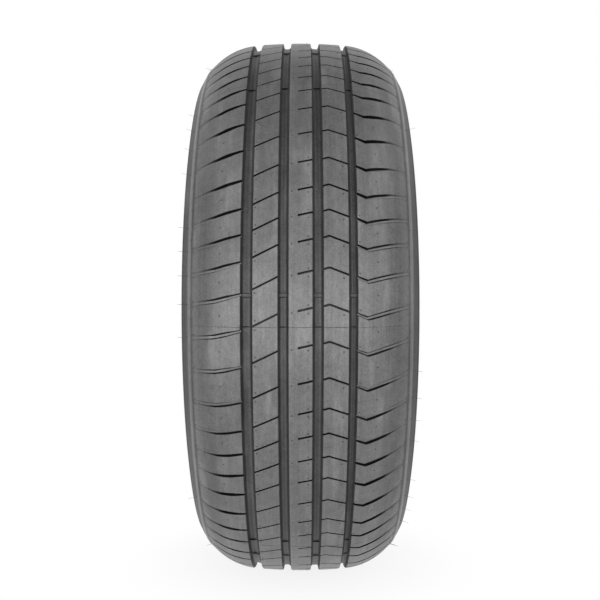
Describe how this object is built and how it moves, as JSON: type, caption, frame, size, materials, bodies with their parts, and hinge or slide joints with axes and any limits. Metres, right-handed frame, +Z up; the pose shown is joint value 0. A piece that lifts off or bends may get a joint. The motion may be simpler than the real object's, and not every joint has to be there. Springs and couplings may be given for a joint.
{
  "type": "car tyre",
  "caption": "Unmounted car tyre in moulded rubber, with round shoulders, main grooves round the tread, slots across its ribs, and two beads that seat on a wheel rim.",
  "frame": {"origin": "centre of the tyre, on the axle line, midway between the two beads", "axes": "+Y along the axle, towards the right-hand sidewall as seen from the tread side at +X; +Z up, with the tyre upright"},
  "size_m": [0.634, 0.225, 0.634],
  "materials": {
    "tread_rubber": "matte moulded rubber"
  },
  "bodies": {
    "root": {"tyre": "tread_rubber"}
  },
  "joints": []
}
